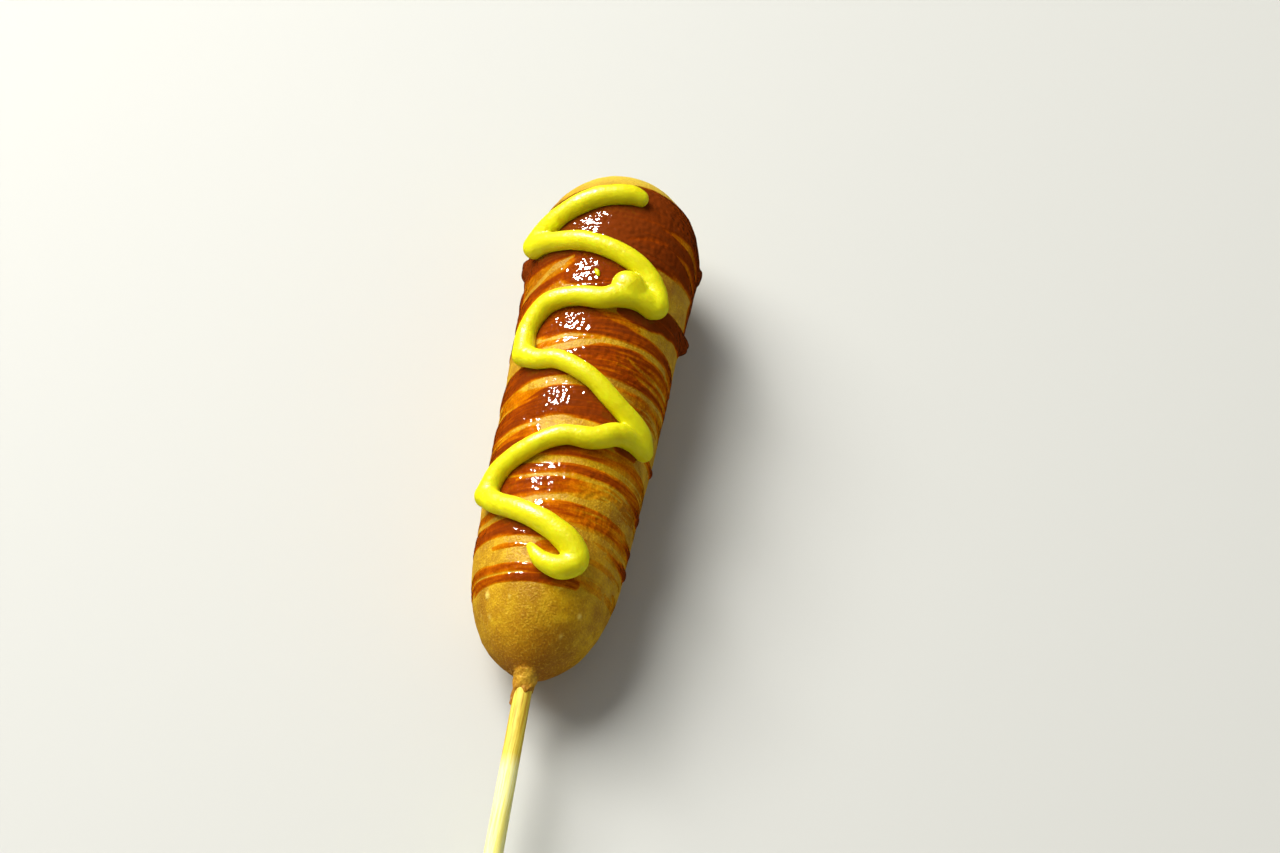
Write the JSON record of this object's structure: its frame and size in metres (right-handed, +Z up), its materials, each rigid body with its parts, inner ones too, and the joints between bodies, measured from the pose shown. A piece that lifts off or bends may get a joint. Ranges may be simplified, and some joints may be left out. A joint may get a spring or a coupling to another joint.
{
  "type": "corn dog",
  "caption": "Fried corn dog on a round bamboo stick, lying on its side, streaked with ketchup and topped with a zigzag bead of mustard.",
  "frame": {"origin": "middle of the flat spot under the batter, on which the corn dog lies", "axes": "+Y along the corn dog towards its tip, the stick towards -Y; +Z up, on the mustard side; +X to the right seen from the stick's end"},
  "size_m": [0.0449, 0.2248, 0.0465],
  "materials": {
    "fried_batter": "golden-brown fried batter with a fine dry grain, a little oily",
    "ketchup": "wet glossy ketchup in streaks, red-brown where thick and orange where thin",
    "mustard": "smooth bright yellow mustard with a soft wet sheen",
    "bamboo": "pale bamboo with faint lengthwise grain, oily near the batter"
  },
  "bodies": {
    "root": {"batter": "fried_batter", "mustard": "mustard", "stick": "bamboo"}
  },
  "joints": []
}
